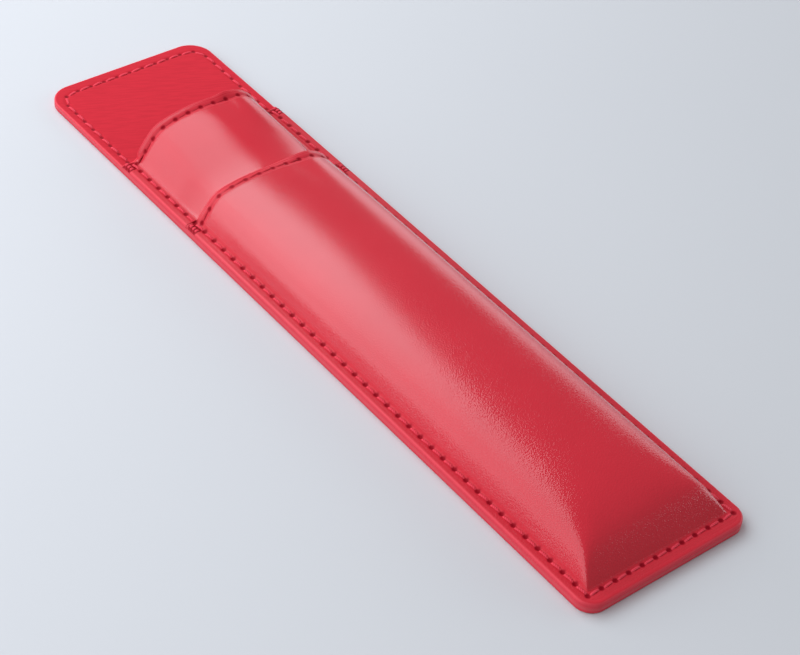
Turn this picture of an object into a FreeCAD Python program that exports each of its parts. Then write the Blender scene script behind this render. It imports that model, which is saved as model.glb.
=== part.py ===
"""Single pen sleeve: a flat sewn leather case with a moulded pocket and a keeper band.

Frame: X across the sleeve, Y along it with the open tab towards +Y, Z up from the table.
The origin is under the middle of the sleeve, on the face that it lies on.
All sizes are in millimetres, all angles in degrees.
"""
import FreeCAD
import Part
import Sketcher

import math
import os

SIZES = [
    ("sleeve_length", 160.0, "closed end to tab end"),
    ("sleeve_width", 36.0, "across the cut edges"),
    ("closed_corner", 3.4, "outline corners at the closed end"),
    ("tab_corner", 4.8, "outline corners at the tab end"),
    ("back_leather", 0.7, "outer leather under the sleeve"),
    ("board_thickness", 0.5, "stiffening board inside the back"),
    ("back_facing", 0.35, "lining that faces the board"),
    ("front_leather", 0.5, "moulded leather of pocket and band"),
    ("front_facing", 0.2, "lining inside pocket and band"),
    ("glue_line", 0.05, "between a moulded leather and its lining"),
    ("tab_length", 27.3, "band's cut edge to the tab end"),
    ("band_reach", 21.5, "pocket's cut edge to the band's"),
    ("band_tuck", 8.0, "length of band that runs on under the pocket"),
    ("flange_joint", 0.1, "between the pocket's flange and the band's"),
    ("flange_width", 2.5, "cut edge to the foot of the pocket's dome"),
    ("dome_rise", 7.85, "ridge of the pocket above its flange"),
    ("flank_angle", 62.0, "side walls of the dome, from level"),
    ("roof_angle", 14.0, "roof slopes of the dome, from level"),
    ("foot_round", 0.5, "hollow where the dome leaves the flange"),
    ("shoulder_round", 5.0, "between side wall and roof slope"),
    ("ridge_share", 1.045, "crown radius of the roof, as a share of the dome's width"),
    ("end_margin", 3.3, "closed end to the dome's foot"),
    ("end_flank_angle", 48.0, "end wall of the dome, from level"),
    ("end_roof_angle", 7.0, "end slope of the roof, from level"),
    ("end_apex", 24.0, "closed end to where the end slope reaches the ridge"),
    ("end_shoulder_round", 11.0, "between end wall and end slope"),
    ("clip_gap", 0.2, "band to pocket lining, where a clip tip slips in"),
    ("seam_inset", 1.8, "side cut edge to the perimeter seam"),
    ("seam_end_inset", 2.5, "end cut edge to the perimeter seam"),
    ("seam_tab_corner", 3.0, "corner radius of the perimeter seam on the tab"),
    ("stitch_pitch", 3.0, "needle hole to needle hole"),
    ("stitch_gap", 0.7, "bare length at each needle hole"),
    ("thread_width", 0.6, "sewing thread, flattened"),
    ("thread_height", 0.3, "sewing thread, above the leather"),
    ("thread_bevel", 0.15, "sloped side of a stitch"),
    ("groove_width", 1.4, "seam groove in the underside"),
    ("groove_depth", 0.4, "seam groove in the underside"),
    ("mouth_inset", 1.5, "cut edge of a mouth to its stitch row"),
    ("tack_length", 1.0, "back stitches that lock a mouth row at the edge"),
    ("tack_pitch", 0.8, "one back stitch to the next"),
    ("tack_count", 3.0, "back stitches in a bar tack"),
]

# How far a cutting form runs past the piece that it cuts.
OVERRUN = 2.0
# The least radius left on a rounded edge of an inner form.
LEAST_ROUND = 0.2
# The share of the free roof slope that a shoulder's round may take.
ROOF_SHARE = 0.98
# Two places closer than this are one place.
SAME_PLACE = 0.01
# How far a needle gap is cut below and above the thread that it parts.
GAP_REACH = 0.45
# Points taken along a dome's section to lay a stitch row.
SKYLINE_POINTS = 400

doc = FreeCAD.newDocument("pen_sleeve")
sheet = doc.addObject("Spreadsheet::Sheet", "Sizes")
for row, (alias, size, note) in enumerate(SIZES, start=1):
    sheet.set("A%d" % row, alias)
    sheet.set("B%d" % row, str(size))
    sheet.set("C%d" % row, note)
    sheet.setAlias("B%d" % row, alias)
doc.recompute()

# Levels and places that follow from the sizes, as expressions on the sheet.
S = {alias: "Sizes." + alias for alias, size, note in SIZES}
BOARD_LEVEL = S["back_leather"]
FACING_LEVEL = "({0} + {1})".format(BOARD_LEVEL, S["board_thickness"])
BACK_TOP = "({0} + {1})".format(FACING_LEVEL, S["back_facing"])
FRONT_WALL = "({front_leather} + {glue_line} + {front_facing})".format(**S)
FLANGE_TOP = "({0} + {1})".format(BACK_TOP, FRONT_WALL)
HALF_LENGTH = "({sleeve_length} / 2)".format(**S)
BAND_MOUTH_Y = "({0} - {1})".format(HALF_LENGTH, S["tab_length"])
MAIN_MOUTH_Y = "({0} - {1})".format(BAND_MOUTH_Y, S["band_reach"])
BAND_FLANGE_Y = "({0} + {1})".format(MAIN_MOUTH_Y, S["flange_joint"])
BAND_START_Y = "({0} - {1})".format(MAIN_MOUTH_Y, S["band_tuck"])
CLOSED_END_Y = "(-{0})".format(HALF_LENGTH)

# The band's dome is the pocket's dome, set in by the pocket's wall and the clip gap.
DOME_WIDTH = "({sleeve_width} - 2 * {flange_width})".format(**S)
BAND_INSET = "({0} + {1})".format(FRONT_WALL, S["clip_gap"])
FOOT_HALF = {
    "main": "({0} / 2)".format(DOME_WIDTH),
    "band": "({0} / 2 - {1} / sin({2}))".format(DOME_WIDTH, BAND_INSET, S["flank_angle"]),
}
# Ridge level, and where the two roof slopes would meet if the crown were not rounded.
RIDGE_TOP = "({0} + {1})".format(FLANGE_TOP, S["dome_rise"])
RIDGE_ROUND = "({0} * {1})".format(DOME_WIDTH, S["ridge_share"])
ROOF_PEAK = "({0} + {1} * (1 / cos({2}) - 1))".format(RIDGE_TOP, RIDGE_ROUND, S["roof_angle"])
PEAK = {
    "main": ROOF_PEAK,
    "band": "({0} - {1} / cos({2}))".format(ROOF_PEAK, BAND_INSET, S["roof_angle"]),
}


def number(expression):
    """The value of an expression on the sheet, as it stands now."""
    return float(sheet.evalExpression(expression))


def minus(expression):
    """The same distance on the other side."""
    return "(-{0})".format(expression)


def beside(overruns):
    """A place beside the sleeve, so many overruns past its cut edge."""
    return "({0} / 2 + {1})".format(S["sleeve_width"], overruns * OVERRUN)


def new_sketch(body, name, role, offset):
    """A sketch on an origin plane of its body; offset maps an axis to an expression."""
    sketch = body.newObject("Sketcher::SketchObject", name)
    plane = next(feature for feature in body.Origin.OriginFeatures if feature.Role == role)
    sketch.AttachmentSupport = [(plane, "")]
    sketch.MapMode = "FlatFace"
    for axis, expression in offset.items():
        sketch.setExpression("AttachmentOffset.Base." + axis, expression)
    return sketch


def add_loop(sketch, corners):
    """A closed outline whose corners are tied to expressions (across, up)."""
    first = sketch.GeometryCount
    places = [FreeCAD.Vector(number(across), number(up), 0) for across, up in corners]
    for index, place in enumerate(places):
        sketch.addGeometry(Part.LineSegment(place, places[(index + 1) % len(places)]), False)
    for index, (across, up) in enumerate(corners):
        following = first + (index + 1) % len(places)
        sketch.addConstraint(Sketcher.Constraint("Coincident", first + index, 2, following, 1))
        for kind, expression in (("DistanceX", across), ("DistanceY", up)):
            distance = Sketcher.Constraint(kind, -1, 1, first + index, 1, number(expression))
            tie = sketch.addConstraint(distance)
            sketch.setExpression("Constraints[%d]" % tie, expression)


def pad(body, sketch, name, length, side="One side"):
    """The sketch drawn out into a solid."""
    feature = body.newObject("PartDesign::Pad", name)
    feature.Profile = sketch
    feature.SideType = side
    feature.setExpression("Length", length)
    doc.recompute()
    return feature


def pocket(body, sketch, name, length):
    """The sketch cut out of the solid, both ways from its plane."""
    before = body.Shape.Volume
    feature = body.newObject("PartDesign::Pocket", name)
    feature.Profile = sketch
    feature.SideType = "Symmetric"
    feature.setExpression("Length", length)
    doc.recompute()
    if not body.Shape.Volume < before:
        raise RuntimeError(name + " cuts nothing")


def edges_along(shape, direction, across, up):
    """Names of the straight edges along an axis that cross the plane square to it at (across, up)."""
    side, rise = [axis for axis in "xyz" if axis != direction]
    names = []
    for index, edge in enumerate(shape.Edges, start=1):
        if edge.Curve.TypeId != "Part::GeomLine":
            continue
        heading = edge.Curve.Direction
        middle = edge.CenterOfMass
        slant = math.hypot(getattr(heading, side), getattr(heading, rise))
        away = math.hypot(getattr(middle, side) - across, getattr(middle, rise) - up)
        if slant < SAME_PLACE and away < SAME_PLACE:
            names.append("Edge%d" % index)
    return names


def fillet(body, base, name, direction, places, radius):
    """The edges that run along an axis at the given places, rounded to one radius."""
    names = []
    for across, up in places:
        names += edges_along(base.Shape, direction, number(across), number(up))
    if len(names) != len(places):
        raise RuntimeError("%s: %d edges found for %d places" % (name, len(names), len(places)))
    feature = body.newObject("PartDesign::Fillet", name)
    feature.Base = (base, names)
    feature.setExpression("Radius", radius)
    doc.recompute()
    return feature


def boolean(kind, name, base, tool):
    """One shape cut by another, or what the two share."""
    feature = doc.addObject("Part::" + kind, name)
    feature.Base = base
    feature.Tool = tool
    doc.recompute()
    return feature


def rounded_plate(name, insets, floor, thickness, closed_corner, tab_corner):
    """A flat plate set in from the sleeve's sides and ends, with its own corner radius at each end."""
    body = doc.addObject("PartDesign::Body", name)
    sketch = new_sketch(body, name + "_outline", "XY_Plane", {"z": floor})
    half_width = "({0} / 2 - {1})".format(S["sleeve_width"], insets[0])
    half_length = "({0} / 2 - {1})".format(S["sleeve_length"], insets[1])
    closed_end = [(minus(half_width), minus(half_length)), (half_width, minus(half_length))]
    tab_end = [(half_width, half_length), (minus(half_width), half_length)]
    add_loop(sketch, closed_end + tab_end)
    plate = pad(body, sketch, name + "_plate", thickness)
    plate = fillet(body, plate, name + "_closed_corners", "z", closed_end, closed_corner)
    fillet(body, plate, name + "_tab_corners", "z", tab_end, tab_corner)
    return body


def outline_plate(name, floor, thickness):
    """A flat plate with the sleeve's whole outline."""
    return rounded_plate(name, ("0", "0"), floor, thickness, S["closed_corner"], S["tab_corner"])


def dome_corners(which, depth, half_width, floor):
    """Corners of a dome's section, set in by depth from the leather's outer face."""
    flank = S["flank_angle"]
    roof = S["roof_angle"]
    foot = "({0} - {1} * tan({2} / 2))".format(FOOT_HALF[which], depth, flank)
    level = "({0} - {1})".format(FLANGE_TOP, depth)
    peak = "({0} - {1} / cos({2}))".format(PEAK[which], depth, roof)
    shoulder = "(({foot} - ({peak} - {level}) / tan({flank})) / (1 - tan({roof}) / tan({flank})))"
    shoulder = shoulder.format(foot=foot, peak=peak, level=level, flank=flank, roof=roof)
    shoulder_level = "({0} - {1} * tan({2}))".format(peak, shoulder, roof)
    right = [(half_width, floor), (half_width, level), (foot, level), (shoulder, shoulder_level)]
    left = [(minus(across), up) for across, up in reversed(right)]
    return {
        "outline": right + [("0", peak)] + left,
        "feet": [right[2], left[1]],
        "shoulders": [right[3], left[0]],
        "ridge": [("0", peak)],
    }


def inner_round(outer, depth):
    """Radius of a rounded edge on a form that is set in by depth."""
    return "max({0} - {1}; {2})".format(outer, depth, LEAST_ROUND)


def outer_round(outer, depth):
    """Radius of a hollow edge on a form that is set in by depth."""
    return "max({0} + {1}; {2})".format(outer, depth, LEAST_ROUND)


def shoulder_room(section, crown):
    """The largest round that a shoulder has room for on the roof slope, beside the crown's round."""
    across = section["shoulders"][0][0]
    free = "({0} / cos({1}) - {2} * tan({1}))".format(across, S["roof_angle"], crown)
    return "({0} * {1} / tan(({2} - {3}) / 2))".format(ROOF_SHARE, free, S["flank_angle"], S["roof_angle"])


def dome_form(name, which, depth, half_width, floor, start, stop):
    """Everything below one face of a moulded panel, between two places along the sleeve."""
    body = doc.addObject("PartDesign::Body", name)
    sketch = new_sketch(body, name + "_section", "XZ_Plane", {"z": minus(stop)})
    section = dome_corners(which, depth, half_width, floor)
    add_loop(sketch, section["outline"])
    form = pad(body, sketch, name + "_prism", "{0} - {1}".format(stop, start))
    crown = inner_round(RIDGE_ROUND, depth)
    rounds = {
        "shoulders": "min({0}; {1})".format(inner_round(S["shoulder_round"], depth), shoulder_room(section, crown)),
        "ridge": crown,
        "feet": outer_round(S["foot_round"], depth),
    }
    for part, radius in rounds.items():
        form = fillet(body, form, name + "_" + part, "y", section[part], radius)
    return body


def end_form(name, depth):
    """What is taken off a pocket form to slope its closed end."""
    body = doc.addObject("PartDesign::Body", name)
    sketch = new_sketch(body, name + "_profile", "YZ_Plane", {})
    wall = S["end_flank_angle"]
    slope = S["end_roof_angle"]
    apex = "({0} + {1})".format(CLOSED_END_Y, S["end_apex"])
    level = "({0} - {1})".format(FLANGE_TOP, depth)
    crown = "({0} - {1} / cos({2}))".format(RIDGE_TOP, depth, slope)
    foot = "({0} + {1} + {2} * tan({3} / 2))".format(CLOSED_END_Y, S["end_margin"], depth, wall)
    climb = "({0} - {1} + {2} * tan({3}) - {4} * tan({5}))".format(crown, level, foot, wall, apex, slope)
    shoulder = "({0} / (tan({1}) - tan({2})))".format(climb, wall, slope)
    shoulder_level = "({0} + ({1} - {2}) * tan({3}))".format(level, shoulder, foot, wall)
    top = "({0} + {1})".format(RIDGE_TOP, OVERRUN)
    top_place = "({0} + ({1} - {2}) / tan({3}))".format(apex, top, crown, slope)
    outside = "({0} - {1})".format(CLOSED_END_Y, 2 * OVERRUN)
    wall_side = [(outside, level), (foot, level), (shoulder, shoulder_level)]
    add_loop(sketch, wall_side + [(top_place, top), (outside, top)])
    form = pad(body, sketch, name + "_prism", "2 * " + beside(3), "Symmetric")
    form = fillet(body, form, name + "_shoulder", "x", [(shoulder, shoulder_level)],
                  inner_round(S["end_shoulder_round"], depth))
    fillet(body, form, name + "_foot", "x", [(foot, level)], outer_round(S["foot_round"], depth))
    return body


def dome_side(name, which, depth, half_width, floor, overrun):
    """The form under one face of the pocket or the band, its closed end sloped where it has one."""
    start, stop = SPAN[which]
    start = "({0} - {1})".format(start, overrun)
    stop = "({0} + {1})".format(stop, overrun)
    form = dome_form(name, which, depth, half_width, floor, start, stop)
    if which == "main":
        form = boolean("Cut", name + "_sloped", form, end_form(name + "_end", depth))
    return form


def moulded_layer(label, which, depth, thickness, outline):
    """One layer of a moulded panel, between two faces of its dome and inside its outline."""
    over = dome_side(label + "_over", which, depth, beside(1), "0", 0)
    under_depth = "({0} + {1})".format(depth, thickness)
    under = dome_side(label + "_under", which, under_depth, beside(2), str(-OVERRUN), OVERRUN)
    shell = boolean("Cut", label + "_shell", over, under)
    return boolean("Common", label, shell, outline)


def front_outline(name):
    """The sleeve's plan, as a block that reaches over the domes."""
    return outline_plate(name, "0", "({0} + {1})".format(RIDGE_TOP, OVERRUN))


def band_outline(name):
    """The band's plan: full width where it is sewn down, its dome alone under the pocket."""
    body = front_outline(name)
    sketch = new_sketch(body, name + "_tuck", "XY_Plane", {})
    foot = FOOT_HALF["band"]
    outside = beside(1)
    beyond = "({0} - {1})".format(CLOSED_END_Y, OVERRUN)
    right = [(foot, beyond), (outside, beyond), (outside, BAND_FLANGE_Y), (foot, BAND_FLANGE_Y)]
    left = [(minus(across), along) for across, along in right]
    add_loop(sketch, right)
    add_loop(sketch, left)
    pocket(body, sketch, name + "_trim", "2 * ({0} + {1})".format(RIDGE_TOP, 2 * OVERRUN))
    return body


def thread_bar(length):
    """One stitch lying on the leather: a bar along X whose ends dive towards the needle holes."""
    width = number(S["thread_width"])
    height = number(S["thread_height"])
    bevel = number(S["thread_bevel"])
    bar = Part.makeWedge(-length / 2, 0, -width / 2, -width / 2 + bevel, -length / 2 + height,
                         length / 2, height, width / 2, width / 2 - bevel, length / 2 - height)
    bar.rotate(FreeCAD.Vector(0, 0, 0), FreeCAD.Vector(1, 0, 0), 90)
    return bar


def laid_bar(start, stop, level, turned_over=False):
    """A stitch between two needle holes at one level, on its leather's upper or lower side."""
    bar = thread_bar((stop - start).Length - number(S["stitch_gap"]))
    if turned_over:
        bar.rotate(FreeCAD.Vector(0, 0, 0), FreeCAD.Vector(1, 0, 0), 180)
    heading = math.degrees(math.atan2(stop.y - start.y, stop.x - start.x))
    middle = (start + stop) * 0.5
    bar.rotate(FreeCAD.Vector(0, 0, 0), FreeCAD.Vector(0, 0, 1), heading)
    bar.translate(FreeCAD.Vector(middle.x, middle.y, level))
    return bar


def seam_corners(start_y, end):
    """Where half of the perimeter seam starts, turns and ends: round the tab (1) or the closed end (-1)."""
    side = number("{sleeve_width} / 2 - {seam_inset}".format(**S))
    reach = end * number("{0} - {1}".format(HALF_LENGTH, S["seam_end_inset"]))
    places = [(-side, start_y), (-side, reach), (side, reach), (side, start_y)]
    return [FreeCAD.Vector(across, along, 0) for across, along in places]


def closed_end_legs(start_y):
    """The seam round the closed end: three straight legs that meet at a needle hole in each corner."""
    corners = seam_corners(start_y, -1)
    legs = zip(corners, corners[1:])
    return [Part.Wire(Part.LineSegment(here, there).toShape()) for here, there in legs]


def tab_end_leg(start_y):
    """The seam round the tab: one leg with rounded corners."""
    start, left, right, stop = seam_corners(start_y, 1)
    corner = number(S["seam_tab_corner"])
    knee = corner * (1 - math.sqrt(0.5))
    across = FreeCAD.Vector(1, 0, 0)
    along = FreeCAD.Vector(0, 1, 0)
    left_arc = [left - along * corner, left + (across - along) * knee, left + across * corner]
    right_arc = [right - across * corner, right - (across + along) * knee, right - along * corner]
    return Part.Wire([
        Part.LineSegment(start, left_arc[0]).toShape(),
        Part.Arc(*left_arc).toShape(),
        Part.LineSegment(left_arc[2], right_arc[0]).toShape(),
        Part.Arc(*right_arc).toShape(),
        Part.LineSegment(right_arc[2], stop).toShape(),
    ])


def seam_run(legs, level, turned_over=False):
    """Stitches of equal length along each leg of a seam."""
    bars = []
    for leg in legs:
        count = round(leg.Length / number(S["stitch_pitch"]))
        holes = leg.discretize(Number=count + 1)
        bars += [laid_bar(here, there, level, turned_over) for here, there in zip(holes, holes[1:])]
    return bars


def group(label, solids):
    """Separate pieces of one kind that share a node."""
    feature = doc.addObject("Part::Feature", label)
    feature.Shape = Part.Compound(solids)
    feature.Placement = FreeCAD.Placement()
    return feature


def mouth_stitches(label, which):
    """The stitch row along a mouth: a strip of thread laid over the dome, parted at the needle holes."""
    row = "({0} - {1})".format(SPAN[which][1], S["mouth_inset"])
    half_thread = "({0} / 2)".format(S["thread_width"])
    start = "({0} - {1})".format(row, half_thread)
    stop = "({0} + {1})".format(row, half_thread)
    before = "({0} - {1})".format(start, OVERRUN)
    after = "({0} + {1})".format(stop, OVERRUN)
    over = dome_form(label + "_over", which, minus(S["thread_height"]), beside(0), "0", start, stop)
    under = dome_form(label + "_under", which, "0", beside(1), str(-OVERRUN), before, after)
    strip = boolean("Cut", label + "_strip", over, under)
    reach = number("{sleeve_width} / 2 - {seam_inset} - {thread_width}".format(**S))
    path = row_path(over.Shape, number(row), reach)
    gaps = [needle_gap(*hole) for hole in row_holes(path)]
    inside = Part.makeBox(2 * reach, number(S["sleeve_length"]), number(RIDGE_TOP) + OVERRUN,
                          FreeCAD.Vector(-reach, number(CLOSED_END_Y), 0))
    return group(label, strip.Shape.common(inside).cut(Part.Compound(gaps)).Solids)


def row_path(form, row_y, reach):
    """The line of a mouth row over the form's skyline, as far as it reaches to each side."""
    section = form.slice(FreeCAD.Vector(0, 1, 0), row_y)
    level = number(FLANGE_TOP)
    skyline = [edge for wire in section for edge in wire.Edges if edge.CenterOfMass.z > level]
    points = Part.Wire(Part.sortEdges(skyline)[0]).discretize(Number=SKYLINE_POINTS)
    return Part.makePolygon([point for point in points if abs(point.x) <= reach])


def row_holes(path):
    """Needle holes along a row, each with the heading of the row there."""
    count = round(path.Length / number(S["stitch_pitch"]))
    points = path.discretize(Number=count + 1)
    return [(here, after - before) for before, here, after in zip(points, points[1:], points[2:])]


def needle_gap(hole, heading):
    """A block that parts the thread at a needle hole, square to the row."""
    length = number(S["stitch_gap"])
    width = number(S["thread_width"]) + 2 * OVERRUN
    height = number(S["thread_height"]) + 2 * GAP_REACH
    corner = FreeCAD.Vector(-length / 2, -width / 2, -height / 2)
    block = Part.makeBox(length, width, height, corner)
    tilt = math.degrees(math.atan2(heading.z, heading.x))
    block.rotate(FreeCAD.Vector(0, 0, 0), FreeCAD.Vector(0, 1, 0), -tilt)
    block.translate(hole)
    return block


def bar_tacks(label, which):
    """Short back stitches beside the cut edges, where a mouth row ends."""
    row = number("{0} - {1}".format(SPAN[which][1], S["mouth_inset"]))
    edge = number("{0} / 2 - {1} / 2".format(S["sleeve_width"], S["thread_width"]))
    length = number(S["tack_length"])
    count = int(number(S["tack_count"]))
    level = number(FLANGE_TOP)
    bars = []
    for side in (-1, 1):
        for index in range(count):
            bar = thread_bar(length)
            along = row + (index - (count - 1) / 2) * number(S["tack_pitch"])
            bar.translate(FreeCAD.Vector(side * (edge - length / 2), along, level))
            bars.append(bar)
    return group(label, bars)


def back_panel(label):
    """Outer leather of the back, with the groove that keeps its stitches off the table."""
    plate = outline_plate(label + "_blank", "0", S["back_leather"])
    half_groove = "({0} / 2)".format(S["groove_width"])
    floor = str(-OVERRUN)
    thickness = "({0} + {1})".format(S["groove_depth"], OVERRUN)
    seam_insets = (S["seam_inset"], S["seam_end_inset"])
    outer_insets = ["({0} - {1})".format(inset, half_groove) for inset in seam_insets]
    inner_insets = ["({0} + {1})".format(inset, half_groove) for inset in seam_insets]
    outer_corner = outer_round(S["seam_tab_corner"], half_groove)
    inner_corner = inner_round(S["seam_tab_corner"], half_groove)
    least = str(LEAST_ROUND)
    outer = rounded_plate(label + "_groove_outer", outer_insets, floor, thickness, half_groove, outer_corner)
    inner = rounded_plate(label + "_groove_inner", inner_insets, floor, thickness, least, inner_corner)
    return boolean("Cut", label, plate, boolean("Cut", label + "_groove", outer, inner))


def perimeter_stitches_front(label):
    """Upper thread of the perimeter seam, on the tab's lining and on the flanges of band and pocket."""
    mouth = number(BAND_MOUTH_Y)
    bare = number(S["stitch_gap"])
    tab_run = seam_run([tab_end_leg(mouth + bare)], number(BACK_TOP))
    flange_run = seam_run(closed_end_legs(mouth - bare), number(FLANGE_TOP))
    return group(label, tab_run + flange_run)


def perimeter_stitches_back(label):
    """Lower thread of the perimeter seam, at the bottom of its groove."""
    mouth = number(BAND_MOUTH_Y)
    legs = [tab_end_leg(mouth)] + closed_end_legs(mouth)
    return group(label, seam_run(legs, number(S["groove_depth"]), True))


SPAN = {
    "main": (CLOSED_END_Y, MAIN_MOUTH_Y),
    "band": (BAND_START_Y, BAND_MOUTH_Y),
}
LINING_DEPTH = "({front_leather} + {glue_line})".format(**S)

pocket_plan = front_outline("pocket_plan")
band_plan = band_outline("band_plan")
nodes = [
    back_panel("back_panel"),
    outline_plate("back_board", BOARD_LEVEL, S["board_thickness"]),
    outline_plate("back_lining", FACING_LEVEL, S["back_facing"]),
    moulded_layer("pocket_panel", "main", "0", S["front_leather"], pocket_plan),
    moulded_layer("pocket_lining", "main", LINING_DEPTH, S["front_facing"], pocket_plan),
    moulded_layer("band_panel", "band", "0", S["front_leather"], band_plan),
    moulded_layer("band_lining", "band", LINING_DEPTH, S["front_facing"], band_plan),
    perimeter_stitches_front("perimeter_stitches_front"),
    perimeter_stitches_back("perimeter_stitches_back"),
    mouth_stitches("pocket_mouth_stitches", "main"),
    mouth_stitches("band_mouth_stitches", "band"),
    bar_tacks("pocket_bar_tacks", "main"),
    bar_tacks("band_bar_tacks", "band"),
]
doc.recompute()

for thing in doc.Objects:
    if "Invalid" in thing.State or "Error" in thing.State:
        raise RuntimeError("%s did not build: %s" % (thing.Name, thing.State))
for node in nodes:
    if node.Shape.isNull() or not node.Shape.isValid() or not node.Shape.Solids:
        raise RuntimeError(node.Label + " is not a sound solid")

os.makedirs("parts", exist_ok=True)
for node in nodes:
    node.Shape.exportStep("parts/%s.step" % node.Label)
    print("%-26s %3d solids %9.2f mm3" % (node.Label, len(node.Shape.Solids), node.Shape.Volume))
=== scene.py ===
"""A leather sleeve for one pen: sewn back and tab, moulded pocket, keeper band, red thread.

Sizes in this file are in millimetres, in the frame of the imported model: X across the sleeve,
Y along it with the open tab towards +Y, Z up from the table. Meshes are made in metres.
"""

import math
from collections import namedtuple

import bmesh
import bpy
import numpy as np
from mathutils import Matrix, Vector


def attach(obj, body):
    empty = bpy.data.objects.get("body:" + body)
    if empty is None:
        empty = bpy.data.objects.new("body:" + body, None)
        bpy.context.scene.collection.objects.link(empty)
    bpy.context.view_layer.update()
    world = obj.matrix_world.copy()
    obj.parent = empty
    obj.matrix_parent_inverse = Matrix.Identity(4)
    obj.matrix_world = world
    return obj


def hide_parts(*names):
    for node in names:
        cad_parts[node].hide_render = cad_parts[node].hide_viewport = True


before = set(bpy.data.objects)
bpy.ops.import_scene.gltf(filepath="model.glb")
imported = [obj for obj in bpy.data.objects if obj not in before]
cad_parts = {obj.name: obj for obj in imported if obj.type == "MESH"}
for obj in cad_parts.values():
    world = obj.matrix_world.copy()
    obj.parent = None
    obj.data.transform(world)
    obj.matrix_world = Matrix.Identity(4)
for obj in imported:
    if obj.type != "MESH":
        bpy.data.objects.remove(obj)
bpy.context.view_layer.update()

MM = 0.001

# Outline and layers of the sleeve. LEATHER is the front leather with its glue line.
HALF_WIDTH = 18.0
HALF_LENGTH = 80.0
CLOSED_CORNER = 3.4
TAB_CORNER = 4.8
BACK_LEATHER_TOP = 0.7
BOARD_TOP = 1.2
TAB_LEVEL = 1.55
FLANGE_LEVEL = 2.3
LEATHER = 0.55
FACING = 0.2

# Rounds of the cut edges.
PANEL_ROUND = 0.5
LIP_ROUND = 0.16
CLOTH_ROUND = 0.06
TAB_ROUND = 0.3
BACK_ROUND = 0.35

# Places along the sleeve.
POCKET_MOUTH = 31.2
BAND_MOUTH = 52.7
BAND_FLANGE = 31.3
BAND_START = 23.2
FACING_SETBACK = 0.25

# Dome of the pocket: flanks and crown along its length, and at the mouth that it opens towards.
ROOF_BEND = 0.0165
POCKET_HALF = 15.8
POCKET_FOOT = 15.7
POCKET_MIDDLE = -0.2
POCKET_RISE = 7.85
POCKET_FULLNESS = 2.05
POCKET_SLOPE = 2.3
POCKET_SHOULDER = 1.15
POCKET_CREASE = 0.16
MOUTH_RISE = 7.6
MOUTH_CROWN = -1.5
MOUTH_SLOPE = 1.75
MOUTH_SHOULDER = 0.8
OPENS_FROM = 4.0
OPENS_WIDE_FROM = 19.0
OPENS_EARLY = 0.45

# The pocket's closed end, and the hip corners where it meets the flanks.
END_MARGIN = 3.0
END_APEX = 24.0
END_FULLNESS = 1.85
END_SLOPE = 1.2
END_SHOULDER = 0.7
HIP_LOW = 0.32
HIP_GAIN = 0.7
HIP_POWER = 1.2

# Dome of the band.
BAND_TUCK_HALF = 14.4
BAND_FOOT = 14.85
BAND_DRAWN_IN = 0.55
BAND_DRAWN_RUN = 8.0
BAND_MIDDLE = -0.35
BAND_RISE = 6.2
BAND_MOUTH_RISE = 7.8
BAND_FLARE = (BAND_FLANGE - 2.0, BAND_MOUTH - 1.0)
BAND_SLOPE = 1.48
BAND_SHOULDER = 0.7
BAND_CREASE = 0.3
BAND_SWAY_FROM = 38.0
BAND_SWAY_SHIFT = 1.2

# The lips turn where they stand clear of the flange, between two heights above it. Swellings
# across the sleeve are given by height, middle and width.
FREE_HEIGHTS = (0.3, 1.0)
LIP_START = 0.1
SWAY_SHOULDER = (0.6, 9.0, 2.8)
SWAY_HOLLOW = (0.14, 5.0, 2.2)
POCKET_LIP_HEIGHTS = (1.0, 5.5)
POCKET_LIP_LEFT = -0.5
POCKET_LIP_TURN = 0.75
POCKET_LIP_PLACES = (-1.0, 8.0)
POCKET_LIP_SWELL = (0.12, 6.0, 2.2)
BAND_LIP_HEIGHTS = (0.4, 2.0)
BAND_LIP = 0.32
BAND_LIP_SWELL = (0.6, 4.6, 1.7)
BAND_SKIVE = 0.5
BAND_SKIVE_RUN = 0.8

# Seams.
SEAM_SIDE = 16.2
SEAM_END = 77.5
SEAM_TAB_CORNER = 3.0
SEAM_CLOSED_CORNER = 0.001
STITCH_PITCH = 3.0
STITCH_BARE = 0.7
ROW_INSET = 1.5
ROW_CLEAR = 0.6
GROOVE_HALF = 0.7
GROOVE_DEPTH = 0.4
GROOVE_FALL = 0.28
TACK_PITCH = 0.8
TACK_ROWS = (-1, 0, 1)
TACK_PLACES = (16.75, 17.65)

# How deep thread pulls the leather in and over what width, and how deep it lies itself.
SEAM_PULL = 0.05
SEAM_PULL_WIDTH = 0.42
ROW_PULL = 0.08
ROW_PULL_WIDTH = 0.24
HOLE_PULL = 0.15
HOLE_PULL_WIDTH = 0.34
TAB_SEAM_PULL = 0.10
TAB_HOLE_PULL = 0.12
TAB_BARE_HALF = 0.3
TAB_THREAD_SINK = 0.08
FLANGE_THREAD_SINK = 0.07
ROW_THREAD_SINK = 0.10
ROW_THREAD_BELOW = 0.02
TACK_SINK = 0.02

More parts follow.
